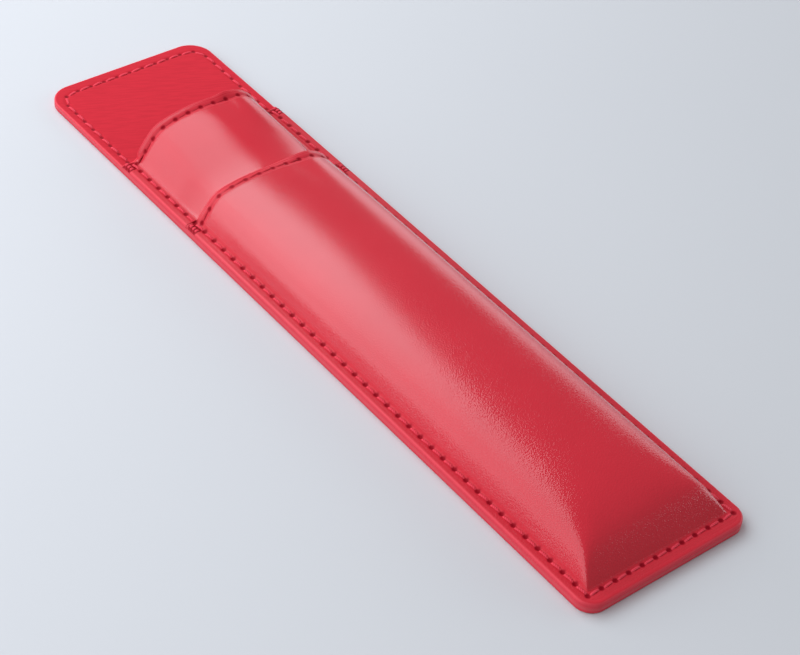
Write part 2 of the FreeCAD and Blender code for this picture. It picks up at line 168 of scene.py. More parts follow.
# Steps of the meshes: close at seams, feet and rims, wider between them. The names with BEFORE
# and BEYOND are the distances from a line at which the next run of steps ends or starts.
STEPS_PER_STITCH = 8
SEAM_STEP = 0.11
SIDE_FOOT_STEP = 0.14
END_FOOT_STEP = 0.16
FLANGE_STEP = 0.22
TUCK_STEP = 0.6
CLOTH_STEP = 1.0
POCKET_CLOTH_STEP = 1.5
BAND_CLOTH_STEP = 1.2
PLATE_STEP = 0.75
PLATE_SEAM_STEP = 0.14
PLATE_FLANGE_STEP = 0.25
SIDE_CORNER_STEP = 0.30
END_CORNER_STEP = 0.22
LEAST_STEP = 0.03
LEAST_RIM = 0.05
DOME_EVEN_TO = 14.0
END_FOOT_RUN = 4.0
SEAM_STEPS = 5
WIDE_SEAM_STEPS = 6
BEFORE_SEAM = 0.6
BEYOND_SEAM = 0.75
BEYOND_END_SEAM = 0.7
BEFORE_ROW = 0.7
BEYOND_RIM = 0.2
BEFORE_PLATE_SEAM = 0.9
BEYOND_PLATE_SIDE_SEAM = 1.05
JOINT_HALF = 0.05
BEFORE_JOINT = 0.06
BEYOND_JOINT = 0.3
EDGE_STEPS = 5
CORNER_POINTS = 24
ROW_POINTS = 400

# A distance that no mark reaches, the limits in metres below which mesh places are the same, and
# the angle of a sharp edge.
FAR = 9.0
SAME_PLACE = 2e-7
NO_LENGTH = 2e-8
SHARP_EDGE = math.radians(40.0)


def ease(low, high, value):
    """0 below low, 1 above high, smooth between."""
    t = np.clip((value - low) / (high - low), 0.0, 1.0)
    return t * t * (3.0 - 2.0 * t)


def soft_min(a, b, blend):
    """The lower of two heights, with the crease between them rounded over."""
    return -blend * np.logaddexp(-a / blend, -b / blend)


def soft_max(a, b, blend):
    """The higher of two heights, with the hollow between them filled a little."""
    return blend * np.logaddexp(a / blend, b / blend)


def bell(value, width):
    """1 at zero, falling away over width on both sides."""
    return np.exp(-(value / width) ** 2)


def swell(x, height, middle, width):
    """A low swelling across the sleeve, round its middle."""
    return height * bell(x - middle, width)


def round_over(inside, radius):
    """How far a rounded edge has dropped, at a distance inside it."""
    reach = np.clip(radius - inside, 0.0, radius)
    return radius - np.sqrt(np.maximum(radius * radius - reach * reach, 0.0))


def edge_steps(radius):
    """Distances inside an edge at which its rounding is well followed."""
    turns = [0.5 * math.pi * k / EDGE_STEPS for k in range(EDGE_STEPS + 1)]
    return np.array([radius * (1.0 - math.cos(turn)) for turn in turns])


def close_to(place, step, count):
    """Places at even steps on both sides of a line."""
    return place + step * np.arange(-count, count + 1)


def spread(*runs):
    """Sorted places from several runs, without the ones that nearly repeat."""
    places = np.sort(np.concatenate([np.atleast_1d(np.asarray(run, float)) for run in runs]))
    keep = [places[0]]
    for place in places[1:]:
        if place - keep[-1] > LEAST_STEP:
            keep.append(place)
    return np.array(keep)


def both_sides(half):
    """Places on both sides of the middle from those on one side."""
    return np.concatenate([-half[:0:-1], half])


def rounded_box(x, y, half_x, half_y, closed_corner, tab_corner):
    """Signed distance to a rounded rectangle, negative inside it."""
    corner = np.where(y < 0, closed_corner, tab_corner)
    across = np.abs(x) - (half_x - corner)
    along = np.abs(y) - (half_y - corner)
    beyond = np.hypot(np.maximum(across, 0), np.maximum(along, 0))
    return beyond + np.minimum(np.maximum(across, along), 0) - corner


def rim_distance(x, y):
    """How far inside the sleeve's cut edge a place is."""
    outline = rounded_box(x, y, HALF_WIDTH, HALF_LENGTH, CLOSED_CORNER, TAB_CORNER)
    return np.maximum(-outline, 0.0)


def seam_distance(x, y):
    """How far a place is from the line of the perimeter seam."""
    line = rounded_box(x, y, SEAM_SIDE, SEAM_END, SEAM_CLOSED_CORNER, SEAM_TAB_CORNER)
    return np.abs(line)


def drawn_corners(x, y):
    """A square-cornered grid with its corners drawn in to the outline's radii."""
    corner = np.where(y < 0, CLOSED_CORNER, TAB_CORNER)
    across = np.abs(x) - (HALF_WIDTH - corner)
    along = np.abs(y) - (HALF_LENGTH - corner)
    inside = (across > 0) & (along > 0)
    shrink = np.maximum(across, along) / np.maximum(np.hypot(across, along), 1e-9)
    new_x = np.sign(x) * (HALF_WIDTH - corner + across * shrink)
    new_y = np.sign(y) * (HALF_LENGTH - corner + along * shrink)
    return np.where(inside, new_x, x), np.where(inside, new_y, y)


def arch(x, half, rise, fullness):
    """Height of a full, rounded arch over its half width."""
    share = np.clip(np.abs(x) / half, 0.0, 0.999)
    return rise * (1.0 - share ** fullness) ** (1.0 / fullness)


def flanked(x, roof, foot, slope, shoulder):
    """A roof between two leaning flanks, with rounded shoulders."""
    return soft_min(roof, (foot - np.abs(x)) * slope, shoulder)


def mouth_sway(x):
    """How a mouth lies off its even arch: a hollow right of the middle, then a raised shoulder."""
    return swell(x, *SWAY_SHOULDER) - swell(x, *SWAY_HOLLOW)


def pocket_curl(x, height):
    """How far the pocket's lip turns up from its row, or down onto the band."""
    turn = POCKET_LIP_LEFT + POCKET_LIP_TURN * ease(*POCKET_LIP_PLACES, x)
    return ease(*POCKET_LIP_HEIGHTS, height) * (turn + swell(x, *POCKET_LIP_SWELL))


def band_curl(x, height):
    """How far the band's lip turns up from its row."""
    return ease(*BAND_LIP_HEIGHTS, height) * (BAND_LIP + swell(x, *BAND_LIP_SWELL))


def pocket_rise(x, y):
    """The pocket's outer face above its flange."""
    across = x - POCKET_MIDDLE
    dome = arch(across, POCKET_HALF, POCKET_RISE, POCKET_FULLNESS)
    full = flanked(across, dome, POCKET_FOOT, POCKET_SLOPE, POCKET_SHOULDER)
    roof = MOUTH_RISE - ROOF_BEND * (x - MOUTH_CROWN) ** 2 + mouth_sway(x)
    mouth = flanked(across, roof, POCKET_FOOT, MOUTH_SLOPE, MOUTH_SHOULDER)
    opened = (OPENS_EARLY * ease(OPENS_FROM, POCKET_MOUTH, y)
              + (1.0 - OPENS_EARLY) * ease(OPENS_WIDE_FROM, POCKET_MOUTH, y))
    section = full + (mouth - full) * opened
    from_end = y + HALF_LENGTH - END_MARGIN
    along = np.clip(from_end / (END_APEX - END_MARGIN), 0.001, 1.0)
    hood = POCKET_RISE * (1.0 - (1.0 - along) ** END_FULLNESS) ** (1.0 / END_FULLNESS)
    end = soft_min(hood, from_end * END_SLOPE, END_SHOULDER)
    height = np.clip(np.minimum(section, end) / POCKET_RISE, 0.0, 1.0)
    hip = HIP_LOW + HIP_GAIN * height ** HIP_POWER
    return soft_max(soft_min(section, end, hip), 0.0, POCKET_CREASE)


def band_rise(x, y):
    """The band's outer face above its flange."""
    across = x - BAND_MIDDLE
    drawn_in = 1.0 - ease(POCKET_MOUTH, POCKET_MOUTH + BAND_DRAWN_RUN, y)
    foot = BAND_FOOT - BAND_DRAWN_IN * drawn_in
    sway = ease(BAND_SWAY_FROM, BAND_MOUTH, y) * mouth_sway(x + BAND_SWAY_SHIFT)
    crown = BAND_RISE + (BAND_MOUTH_RISE - BAND_RISE) * ease(*BAND_FLARE, y) + sway
    roof = crown - ROOF_BEND * across ** 2
    section = flanked(across, roof, foot, BAND_SLOPE, BAND_SHOULDER)
    return soft_max(section, 0.0, BAND_CREASE)


def lie_on(rise, x, y):
    """Places on a moulded face and the way it looks there."""
    step = 0.01
    lean_x = (rise(x + step, y) - rise(x - step, y)) / (2 * step)
    lean_y = (rise(x, y + step) - rise(x, y - step)) / (2 * step)
    normal = np.stack([-lean_x, -lean_y, np.ones_like(x)], -1)
    normal /= np.linalg.norm(normal, axis=-1, keepdims=True)
    return np.stack([x, y, FLANGE_LEVEL + rise(x, y)], -1), normal


def run_along(points):
    """Length along a line of points, from its first one."""
    steps = np.linalg.norm(np.diff(points, axis=0), axis=1)
    return np.concatenate([[0.0], np.cumsum(steps)])


def even_steps(points):
    """Needle holes at equal steps along a line of points, about a stitch apart."""
    run = run_along(points)
    count = max(1, round(run[-1] / STITCH_PITCH))
    stops = np.linspace(0.0, run[-1], count + 1)
    return np.stack([np.interp(stops, run, values) for values in points.T], -1)


def tab_line():
    """The perimeter seam round the tab, with its two rounded corners."""
    start = BAND_MOUTH + STITCH_BARE
    centre = np.array([SEAM_SIDE - SEAM_TAB_CORNER, SEAM_END - SEAM_TAB_CORNER])
    turn = np.linspace(0.0, math.pi / 2, CORNER_POINTS)
    right = [centre + SEAM_TAB_CORNER * np.array([math.cos(a), math.sin(a)]) for a in turn]
    half = [np.array([SEAM_SIDE, start])] + right
    left = [np.array([-x, y]) for x, y in half]
    return np.array(left + half[::-1])


def closed_lines():
    """The perimeter seam along both sides and round the closed end, as three straight legs."""
    top = BAND_MOUTH - STITCH_BARE
    turns = [(-SEAM_SIDE, top), (-SEAM_SIDE, -SEAM_END), (SEAM_SIDE, -SEAM_END), (SEAM_SIDE, top)]
    return [np.array(leg) for leg in zip(turns, turns[1:])]


def mesh_step(holes):
    """The mesh step that needle holes fall in with."""
    return np.linalg.norm(holes[1] - holes[0]) / STEPS_PER_STITCH


TAB_HOLES = even_steps(tab_line())
CLOSED_HOLES = [even_steps(leg) for leg in closed_lines()]
SIDE_STEP = mesh_step(CLOSED_HOLES[0])
END_STEP = mesh_step(CLOSED_HOLES[1])


def nearest_hole(u, v, holes):
    """Distance from each place to the nearest needle hole."""
    best = np.full(u.shape, FAR)
    for across, along in holes:
        best = np.minimum(best, np.hypot(u - across, v - along))
    return best


def girth_of(places):
    """Length along each section from the sleeve's middle line, negative on its left."""
    steps = np.linalg.norm(np.diff(places[:, :, [0, 2]], axis=1), axis=2)
    run = np.concatenate([np.zeros((len(places), 1)), np.cumsum(steps, axis=1)], axis=1)
    middle = places.shape[1] // 2
    return run - run[:, middle:middle + 1]


def row_line(rise, row_y, depth=0.0):
    """The line of a mouth's stitch row over its dome, and the way the leather looks along it."""
    end = SEAM_SIDE - ROW_CLEAR
    x = np.linspace(-end, end, ROW_POINTS)[None, :]
    place, normal = lie_on(rise, x, np.full_like(x, row_y))
    return (place - normal * depth)[0], normal[0]


def row_holes(rise, row_y, depth):
    """Needle holes of a mouth row with the leather's direction at each."""
    line, normal = row_line(rise, row_y, depth)
    holes = even_steps(np.concatenate([line, normal], axis=1))
    return holes[:, :3], holes[:, 3:]


def row_girths(rise, row_y):
    """Where the holes of a mouth row lie along the section."""
    line, _ = row_line(rise, row_y)
    run = run_along(line)
    count = round(run[-1] / STITCH_PITCH)
    return np.linspace(0.0, run[-1], count + 1) - np.interp(0.0, line[:, 0], run)


def tack_ys(mouth):
    """Places along the sleeve of the back stitches that lock a mouth's row."""
    return [mouth - ROW_INSET + row * TACK_PITCH for row in TACK_ROWS]


def add_object(name, data):
    """A new object in the scene."""
    thing = bpy.data.objects.new(name, data)
    bpy.context.scene.collection.objects.link(thing)
    return thing


def clean_solid(mesh):
    """Places that fall together become one, and every face looks outwards."""
    work = bmesh.new()
    work.from_mesh(mesh)
    bmesh.ops.remove_doubles(work, verts=work.verts, dist=SAME_PLACE)
    bmesh.ops.dissolve_degenerate(work, edges=work.edges, dist=NO_LENGTH)
    if work.calc_volume(signed=True) < 0:
        bmesh.ops.reverse_faces(work, faces=work.faces)
    work.to_mesh(mesh)
    work.free()


def sheet_solid(name, top, bottom, marks, material):
    """A closed sheet between two grids of places, with named values kept at its points."""
    rows, columns = top.shape[:2]
    below = rows * columns
    points = np.concatenate([top.reshape(-1, 3), bottom.reshape(-1, 3)]) * MM
    index = np.arange(below).reshape(rows, columns)
    corners = [index[:-1, :-1], index[:-1, 1:], index[1:, 1:], index[1:, :-1]]
    upper = np.stack(corners, -1).reshape(-1, 4)
    lower = upper[:, ::-1] + below
    rim = np.concatenate([index[0, :-1], index[:-1, -1], index[-1, :0:-1], index[:0:-1, 0]])
    after = np.roll(rim, -1)
    wall = np.stack([rim + below, after + below, after, rim], -1)
    mesh = bpy.data.meshes.new(name)
    mesh.from_pydata(points.tolist(), [], np.concatenate([upper, lower, wall]).tolist())
    for mark, values in marks.items():
        layer = mesh.attributes.new(mark, "FLOAT", "POINT")
        layer.data.foreach_set("value", np.tile(np.asarray(values, np.float32).ravel(), 2))
    clean_solid(mesh)
    mesh.shade_smooth()
    mesh.set_sharp_from_angle(angle=SHARP_EDGE)
    mesh.materials.append(material)
    return add_object(name, mesh)


def stand_for(piece, slot, *nodes):
    """The piece takes the place of its CAD nodes and moves with the sleeve."""
    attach(piece, "root")
    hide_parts(*nodes)


def colour(*screen):
    """An sRGB colour, 0 to 255 as it looks on a screen, as the shader's own values."""
    shares = [c / 255.0 for c in screen]
    linear = [c / 12.92 if c <= 0.04045 else ((c + 0.055) / 1.055) ** 2.4 for c in shares]
    return (*linear, 1.0)


RED = colour(205, 42, 57)
# Painted shade inside the needle holes.
HOLE_SHADE_RED = colour(134, 10, 26)
DEEP_RED = colour(172, 24, 40)
EDGE_RED = colour(214, 60, 74)
FACING_RED = colour(198, 34, 50)
FACING_SHADE = colour(174, 23, 39)
LINING_RED = colour(170, 26, 40)
LINING_SHADE = colour(120, 14, 26)
SEAM_RED = colour(228, 66, 84)
SEAM_SHADE = colour(170, 24, 40)
# Mouth-row thread: the seam's thread darkened as painted shade of the sunk row.
ROW_SHADED_RED = colour(176, 26, 42)
ROW_SHADE = colour(136, 12, 26)
BOARD_DARK = colour(118, 104, 92)
BOARD_LIGHT = colour(150, 138, 124)
TABLE_DARK = colour(198, 200, 204)
TABLE_LIGHT = colour(203, 205, 208)


class Nodes:
    """A node tree with short ways to add, set and join its nodes."""

    def __init__(self, tree):
        self.tree = tree

    def add(self, kind, inputs=None, **settings):
        """A new node with its settings and inputs."""
        node = self.tree.nodes.new(kind)
        for key, value in settings.items():
            setattr(node, key, value)
        self.fill(node, inputs or {})
        return node

    def out(self, kind, inputs=None, **settings):
        """The first output of a new node."""
        return self.add(kind, inputs, **settings).outputs[0]

    def fill(self, node, inputs):
        """Values or links for several inputs of a node."""
        for key, value in inputs.items():
            self.put(node.inputs[key], value)

    def put(self, socket, value):
        if isinstance(value, bpy.types.NodeSocket):
            self.tree.links.new(value, socket)
        else:
            socket.default_value = value

    def math(self, operation, *values, clamp=False):
        """The result of a sum on one to three values."""
        inputs = dict(enumerate(values))
        return self.out("ShaderNodeMath", inputs, operation=operation, use_clamp=clamp)

    def times(self, first, second):
        return self.math("MULTIPLY", first, second)

    def vector(self, operation, inputs):
        """The outputs of a sum on vectors."""
        return self.add("ShaderNodeVectorMath", inputs, operation=operation).outputs

    def fall(self, value, full, none):
        """1 as far as full, then down to 0 at none."""
        inputs = {"Value": value, "From Min": full, "From Max": none, "To Min": 1.0, "To Max": 0.0}
        return self.out("ShaderNodeMapRange", inputs, interpolation_type="SMOOTHSTEP")

    def between(self, value, low, high):
        """A 0 to 1 value laid out from low to high."""
        return self.out("ShaderNodeMapRange", {"Value": value, "To Min": low, "To Max": high})

    def mix(self, share, first, second):
        """A colour from the first one to the second."""
        node = self.add("ShaderNodeMix", {"Factor": share}, data_type="RGBA")
        colours = [socket for socket in node.inputs if socket.type == "RGBA"]
        self.put(colours[0], first)
        self.put(colours[1], second)
        return next(socket for socket in node.outputs if socket.type == "RGBA")

    def stain(self, tint, stain, mask, share):
        """A tint turned towards a stain by a share, where a mask lies."""
        return self.mix(self.times(mask, share), tint, stain)

    def mark(self, name):
        """A value kept at the points of a mesh."""
        return self.add("ShaderNodeAttribute", attribute_name=name).outputs["Fac"]

    def place(self):
        """The place on the piece, in metres."""
        return self.add("ShaderNodeTexCoord").outputs["Object"]

    def noise(self, place, scale, detail, roughness=0.5):
        """The outputs of a noise, with its scale per metre."""
        inputs = {"Vector": place, "Scale": scale, "Detail": detail, "Roughness": roughness}
        return self.add("ShaderNodeTexNoise", inputs).outputs

    def emboss(self, shader, height, depth, strength):
        """Pressed detail on a shader, its depth in millimetres."""
        inputs = {"Strength": strength, "Distance": depth * MM, "Height": height}
        self.put(shader.inputs["Normal"], self.out("ShaderNodeBump", inputs))


def number_inputs(tree, values):
    """Number inputs of a node group, with their usual values."""
    for label, value in values.items():
        socket = tree.interface.new_socket(label, in_out="INPUT", socket_type="NodeSocketFloat")
        socket.default_value = value


def shader_group(name, inputs, outputs):
    """An effect shared by several materials: its tree, its inputs and its output node."""
    tree = bpy.data.node_groups.new(name, "ShaderNodeTree")
    number_inputs(tree, inputs)
    for label in outputs:
        tree.interface.new_socket(label, in_out="OUTPUT", socket_type="NodeSocketFloat")
    nodes = Nodes(tree)
    source = nodes.add("NodeGroupInput")
    result = nodes.add("NodeGroupOutput")
    return nodes, source.outputs, result


def pebble_grain():
    """Fine rounded pebbles of a smooth hide, with a few pores."""
    nodes, given, result = shader_group("pebble_grain", {"Pebbles per mm": 3.0},
                                        ["Height", "Pores"])
    place = nodes.place()
    scale = nodes.times(given["Pebbles per mm"], 1.0 / MM)
    wander = nodes.noise(place, scale=1600.0, detail=1.0)["Color"]
    bent = nodes.vector("SCALE", {0: wander, "Scale": 0.12 * MM})[0]
    moved = nodes.vector("ADD", {0: place, 1: bent})[0]
    cells = nodes.out("ShaderNodeTexVoronoi", {"Vector": moved, "Scale": scale, "Smoothness": 0.6},
                      feature="SMOOTH_F1")
    pebbles = nodes.fall(cells, full=0.05, none=0.75)
    fine = nodes.noise(place, scale=5200.0, detail=3.0)["Fac"]
    pores = nodes.noise(place, scale=1500.0, detail=1.0)["Fac"]
    nodes.fill(result, {"Height": nodes.math("MULTIPLY_ADD", fine, 0.35, pebbles),
                        "Pores": nodes.fall(pores, full=0.26, none=0.36)})
    return nodes.tree


def sewn_marks():
    """Where thread pulls a skin down: the seam line and needle holes, where shade is painted."""
    nodes, given, result = shader_group("sewn_marks", {"Hole size mm": 0.70,
                                        "Crease width mm": 0.42}, ["Hole", "Crease"])
    size = given["Hole size mm"]
    hole = nodes.fall(nodes.mark("needle"), full=nodes.times(size, 0.45), none=size)
    crease = nodes.fall(nodes.mark("line"), full=0.05, none=given["Crease width mm"])
    nodes.fill(result, {"Hole": hole, "Crease": crease})
    return nodes.tree


def handling():
    """Slow, cloudy change over a skin from dye and use."""
    nodes, given, result = shader_group("handling", {"Patch size mm": 14.0}, ["Cloud", "Mottle"])
    place = nodes.place()
    scale = nodes.math("DIVIDE", 1.0 / MM, given["Patch size mm"])
    nodes.fill(result, {"Cloud": nodes.noise(place, scale=scale, detail=3.0)["Fac"],
                        "Mottle": nodes.noise(place, scale=700.0, detail=2.0)["Fac"]})
    return nodes.tree


GRAIN = pebble_grain()
SEWN = sewn_marks()
USE = handling()


def new_material(name):
    """An empty material with a Principled shader: its nodes and the shader."""
    material = bpy.data.materials.new(name)
    material.use_nodes = True
    nodes = Nodes(material.node_tree)
    shader = next(node for node in material.node_tree.nodes if node.type == "BSDF_PRINCIPLED")
    return material, nodes, shader


def placed(nodes, tree, **inputs):
    """A shared effect placed in a material with its own values."""
    node = nodes.add("ShaderNodeGroup", node_tree=tree)
    nodes.fill(node, {label.replace("_", " "): value for label, value in inputs.items()})
    return node.outputs


def smooth_hide(name, roughness, grain_depth):
    """Dyed, lightly coated leather with painted cut edges and painted shade in sewn creases and
    holes.

    It shines most on the upper pocket, less on the band, and least at the closed end, where
    its grain also stands out more.
    """
    material, nodes, shader = new_material(name)
    grain = placed(nodes, GRAIN, Pebbles_per_mm=3.6)
    sewn = placed(nodes, SEWN)
    use = placed(nodes, USE, Patch_size_mm=16.0)
    rim = nodes.mark("rim")
    painted = nodes.fall(rim, full=0.15, none=0.40)
    by_rim = nodes.fall(rim, full=0.4, none=1.4)
    by_seam = nodes.fall(nodes.mark("line"), full=0.5, none=1.1)
    rubbed = nodes.math("MAXIMUM", by_rim, by_seam)
    along = nodes.add("ShaderNodeSeparateXYZ", {0: nodes.place()}).outputs["Y"]
    worn = nodes.fall(along, full=-60.0 * MM, none=15.0 * MM)
    on_band = nodes.fall(along, full=38.0 * MM, none=31.0 * MM)

    tint = nodes.mix(nodes.between(use["Cloud"], 0.0, 0.5), RED, DEEP_RED)
    tint = nodes.stain(tint, DEEP_RED, grain["Pores"], 0.08)
    tint = nodes.mix(painted, tint, EDGE_RED)
    # Painted shade along the sunk seam creases and in the needle holes.
    tint = nodes.stain(tint, DEEP_RED, sewn["Crease"], 0.5)
    tint = nodes.stain(tint, HOLE_SHADE_RED, sewn["Hole"], 0.92)

    mottle = nodes.between(use["Mottle"], roughness - 0.03, roughness + 0.03)
    rubbing = nodes.times(nodes.math("MAXIMUM", sewn["Hole"], rubbed), 0.3)
    handled = nodes.math("MAXIMUM", worn, nodes.times(on_band, 0.75))
    dulled = nodes.times(nodes.between(sewn["Hole"], 1.0, 0.15), nodes.between(rubbed, 1.0, 0.42))
    shine = nodes.times(nodes.between(handled, 0.52, 0.33), dulled)
    nodes.fill(shader, {"Base Color": tint, "Roughness": nodes.math("ADD", mottle, rubbing),
                        "Specular IOR Level": shine, "IOR": 1.6})

    stands_out = nodes.times(nodes.between(painted, 1.0, 0.15), nodes.between(worn, 0.5, 1.35))
    height = nodes.times(grain["Height"], stands_out)
    nodes.emboss(shader, height, depth=grain_depth, strength=1.0)
    return material


def brushed_facing(name):
    """Dense brushed microfibre: short nap laid in one slanting direction, painted shade at seams.
    """
    material, nodes, shader = new_material(name)
    sewn = placed(nodes, SEWN, Hole_size_mm=0.55)
    use = placed(nodes, USE, Patch_size_mm=11.0)
    painted = nodes.fall(nodes.mark("rim"), full=0.15, none=0.45)
    place = nodes.place()
    slant = {"Vector": place, "Angle": math.radians(24.9)}
    turned = nodes.out("ShaderNodeVectorRotate", slant, rotation_type="Z_AXIS")
    drawn = nodes.out("ShaderNodeMapping", {"Vector": turned, "Scale": (210.0, 2600.0, 2600.0)})
    nap = nodes.noise(drawn, scale=1.0, detail=3.0, roughness=0.6)["Fac"]
    fuzz = nodes.noise(place, scale=4200.0, detail=2.0)["Fac"]

    tint = nodes.stain(FACING_RED, FACING_SHADE, nodes.fall(nap, full=0.36, none=0.60), 0.42)
    tint = nodes.mix(nodes.between(use["Cloud"], 0.0, 0.18), tint, FACING_SHADE)
    tint = nodes.mix(painted, tint, EDGE_RED)
    # Painted shade along the sunk seam crease and in the needle holes.
    tint = nodes.stain(tint, FACING_SHADE, sewn["Crease"], 0.35)
    tint = nodes.stain(tint, HOLE_SHADE_RED, sewn["Hole"], 0.9)
    nodes.fill(shader, {"Base Color": tint, "Roughness": nodes.between(painted, 0.78, 0.45),
                        "Sheen Weight": 0.04, "Sheen Roughness": 0.45, "Specular IOR Level": 0.15})
    height = nodes.math("ADD", nap, nodes.times(fuzz, 0.6))
    nodes.emboss(shader, height, depth=0.02, strength=0.5)
    return material


def woven_facing(name):
    """Thin plain-woven lining inside pocket and band."""
    material, nodes, shader = new_material(name)
    use = placed(nodes, USE, Patch_size_mm=9.0)
    yarn = {"Vector": nodes.place(), "Scale": 640.0, "Distortion": 0.6, "Detail": 1.0}
    warp, weft = [nodes.add("ShaderNodeTexWave", yarn, bands_direction=way).outputs["Fac"]
                  for way in ("X", "Y")]
    weave = nodes.times(warp, weft)
    tint = nodes.mix(weave, LINING_SHADE, LINING_RED)
    tint = nodes.mix(nodes.between(use["Cloud"], 0.0, 0.3), tint, LINING_SHADE)
    tint = nodes.mix(nodes.fall(nodes.mark("rim"), full=0.02, none=0.06), tint, EDGE_RED)
    nodes.fill(shader, {"Base Color": tint, "Roughness": nodes.between(weave, 0.9, 0.7),
                        "Specular IOR Level": 0.2})
    nodes.emboss(shader, weave, depth=0.05, strength=0.8)
    return material


def painted_board(name):
    """Pressed fibre board whose cut edge carries the same red paint as the leather's."""
    material, nodes, shader = new_material(name)
    place = nodes.place()
    looks = nodes.add("ShaderNodeNewGeometry").outputs["Normal"]
    upright = nodes.add("ShaderNodeSeparateXYZ", {0: looks}).outputs["Z"]
    on_edge = nodes.fall(nodes.math("ABSOLUTE", upright), full=0.3, none=0.7)
    fibres = nodes.noise(place, scale=1400.0, detail=4.0)["Fac"]
    brush = nodes.noise(place, scale=420.0, detail=2.0)["Fac"]
    core = nodes.mix(fibres, BOARD_DARK, BOARD_LIGHT)
    paint = nodes.stain(EDGE_RED, DEEP_RED, brush, 0.15)
    nodes.fill(shader, {"Base Color": nodes.mix(on_edge, core, paint),
                        "Roughness": nodes.between(brush, 0.4, 0.55)})
    nodes.emboss(shader, fibres, depth=0.03, strength=0.6)
    return material


def plied_thread(name, tone, shade):
    """Bonded sewing thread: plies that wind round each stitch, with painted shade between them."""
    material, nodes, shader = new_material(name)
    wind = nodes.math("SINE", nodes.times(nodes.mark("ply"), 4.0 * math.pi))
    groove = nodes.fall(wind, full=-0.9, none=0.2)
    fibre = nodes.noise(nodes.place(), scale=6000.0, detail=2.0)["Fac"]
    # Painted shade in the grooves between the plies.
    tint = nodes.stain(tone, shade, groove, 0.35)
    tint = nodes.mix(nodes.between(fibre, 0.0, 0.2), tint, shade)
    nodes.fill(shader, {"Base Color": tint, "Roughness": nodes.between(groove, 0.6, 0.8),
                        "Specular IOR Level": 0.2})
    nodes.emboss(shader, wind, depth=0.03, strength=0.5)
    return material


hide = smooth_hide("red_smooth_hide", roughness=0.15, grain_depth=0.015)
back_hide = smooth_hide("red_back_hide", roughness=0.40, grain_depth=0.022)
tab_facing = brushed_facing("red_brushed_facing")
inner_facing = woven_facing("red_woven_lining")
board = painted_board("painted_fibre_board")
thread = plied_thread("red_plied_thread", SEAM_RED, SEAM_SHADE)
# The mouth rows' thread: the same thread with painted shade of its sunk row.
shaded_row_thread = plied_thread("red_thread_in_row_shade", ROW_SHADED_RED, ROW_SHADE)


# A moulded panel's outer face, and one of the layers that it is made of.
Dome = namedtuple("Dome", "rise curl mouth tucked")
Layer = namedtuple("Layer", "upper lower rim_round lip_round setback")

POCKET = Dome(pocket_rise, pocket_curl, POCKET_MOUTH, tucked=False)
BAND = Dome(band_rise, band_curl, BAND_MOUTH, tucked=True)
SKIN = Layer(0.0, LEATHER, PANEL_ROUND, LIP_ROUND, setback=0.0)
CLOTH = Layer(LEATHER, LEATHER + FACING, 0.0, CLOTH_ROUND, setback=FACING_SETBACK)


def half_places(step):
    """Places across the right half of a panel: even over the dome, close at foot, seam and rim."""
    dome = np.arange(0.0, DOME_EVEN_TO, step)
    foot = np.arange(DOME_EVEN_TO, SEAM_SIDE - BEFORE_SEAM, SIDE_FOOT_STEP)
    seam = close_to(SEAM_SIDE, SEAM_STEP, SEAM_STEPS)
    flange = np.arange(SEAM_SIDE + BEYOND_SEAM, HALF_WIDTH - PANEL_ROUND, FLANGE_STEP)
    return spread([0.0], dome, foot, seam, flange, HALF_WIDTH - edge_steps(PANEL_ROUND))


def mouth_ys(dome, layer):
    """Places close to a mouth's row and to the layer's edge there, and where the even ones end."""
    mouth = dome.mouth - layer.setback
    row = close_to(dome.mouth - ROW_INSET, SEAM_STEP, WIDE_SEAM_STEPS)
    inside = row[row < mouth - layer.lip_round]
    close = np.concatenate([inside, mouth - edge_steps(layer.lip_round)])
    return close, mouth - ROW_INSET - BEFORE_ROW


def pocket_ys(step, layer):
    """Places along the pocket, close at the closed end's rim, seam and foot and at the mouth."""
    rim_round = max(layer.rim_round, LEAST_RIM)
    rim = -HALF_LENGTH + edge_steps(rim_round)
    flange_start = -HALF_LENGTH + rim_round + BEYOND_RIM
    flange = np.arange(flange_start, -SEAM_END - BEFORE_SEAM, FLANGE_STEP)
    seam = close_to(-SEAM_END, SEAM_STEP, SEAM_STEPS)
    foot = np.arange(-SEAM_END + BEYOND_END_SEAM, -SEAM_END + END_FOOT_RUN, END_FOOT_STEP)
    first = -SEAM_END + step * math.ceil(END_FOOT_RUN / step)
    mouth, last = mouth_ys(POCKET, layer)
    return spread(rim, flange, seam, foot, np.arange(first, last, step), mouth)


def band_ys(step, layer):
    """Places along the band, close at its joint with the pocket and at the mouth."""
    tuck = np.arange(BAND_START, BAND_FLANGE - BEFORE_JOINT, TUCK_STEP)
    joint = [BAND_FLANGE - JOINT_HALF, BAND_FLANGE + JOINT_HALF]
    mouth, last = mouth_ys(BAND, layer)
    return spread(tuck, joint, np.arange(BAND_FLANGE + BEYOND_JOINT, last, step), mouth)


def cut_size(places):
    """Width, length and area in metres of the cloth that a moulded lining is cut from."""
    across = np.linalg.norm(np.diff(places, axis=1), axis=2)
    along = np.linalg.norm(np.diff(places, axis=0), axis=2)
    area = (across[:-1] + across[1:]) * (along[:, :-1] + along[:, 1:]) / 4
    return across.sum(1).max() * MM, along.sum(0).max() * MM, area.sum() * MM * MM


